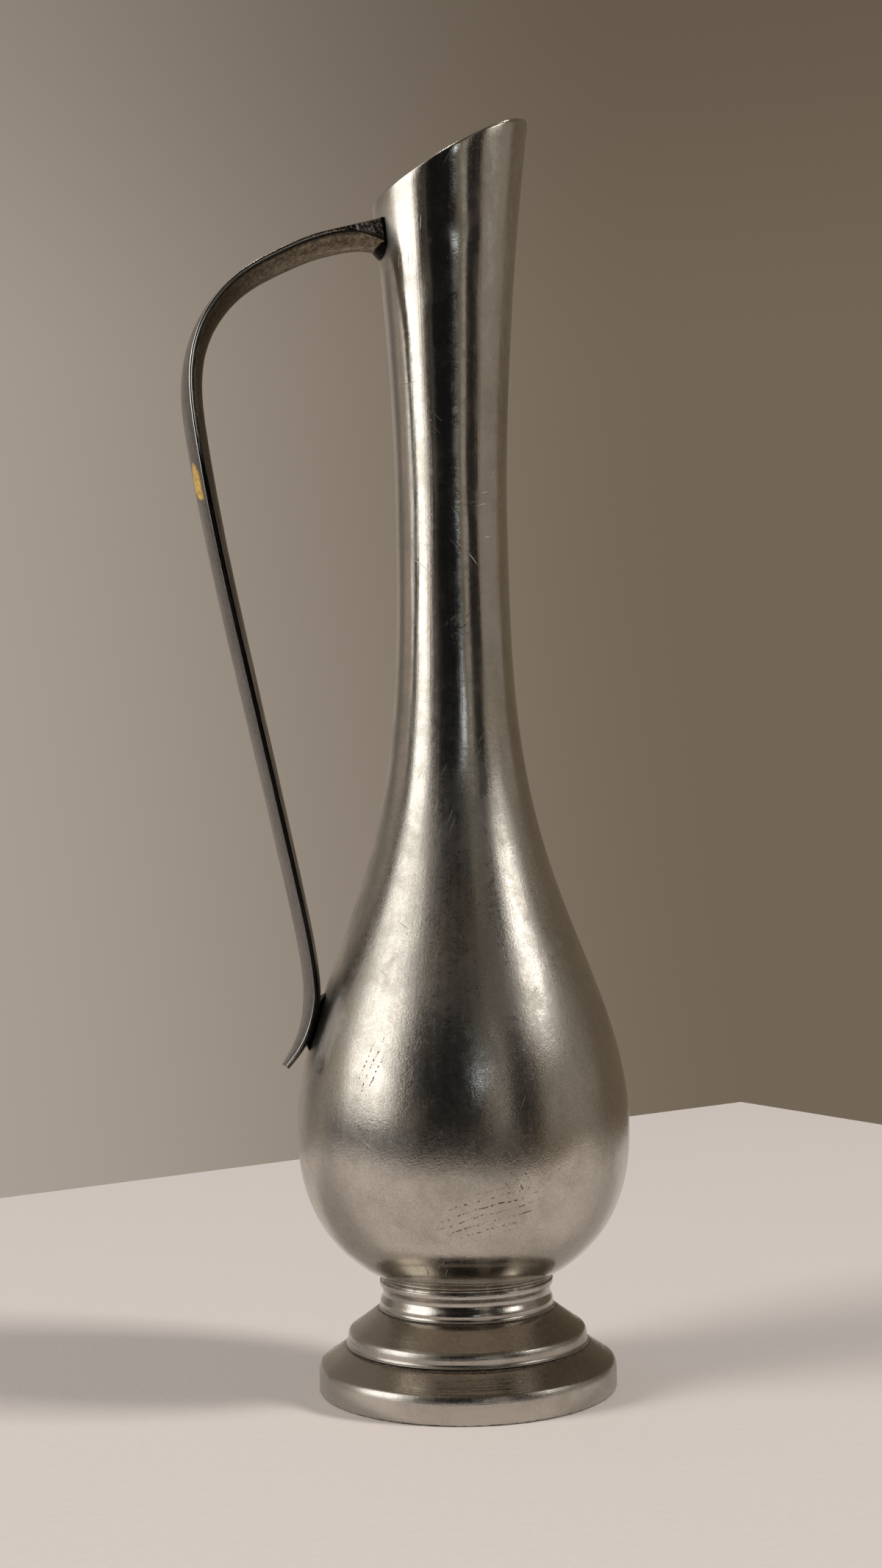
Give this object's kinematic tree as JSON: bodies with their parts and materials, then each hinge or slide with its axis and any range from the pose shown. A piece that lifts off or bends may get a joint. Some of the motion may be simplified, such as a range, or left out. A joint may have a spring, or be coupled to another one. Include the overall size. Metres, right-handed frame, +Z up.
{
  "type": "pewter pitcher",
  "caption": "Slender pewter pitcher with a round bulb on a stepped foot, a long flared neck with an oblique pouring lip, and a tall strap handle.",
  "frame": {"origin": "on the vessel's axis at the underside of the foot, which rests on the table", "axes": "+Z up along the vessel's axis, -X towards the handle, +X towards the high side of the lip"},
  "size_m": [0.0868, 0.0654, 0.253],
  "materials": {
    "spun_pewter": "satin, finely scratched",
    "turned_pewter": "satin, darker in the grooves",
    "cast_pewter": "satin, darker on the sides",
    "solder": "dull, oxidised"
  },
  "bodies": {
    "root": {"upper_body": "spun_pewter", "lower_bowl": "spun_pewter", "foot_collar": "turned_pewter", "foot_upper_tier": "turned_pewter", "foot_lower_tier": "turned_pewter", "base_disc": "turned_pewter", "handle": "cast_pewter", "handle_top_solder": "solder", "handle_lower_solder": "solder", "belly_seam_solder": "solder", "collar_solder": "solder", "tier_solder": "solder", "disc_solder": "solder"}
  },
  "joints": []
}
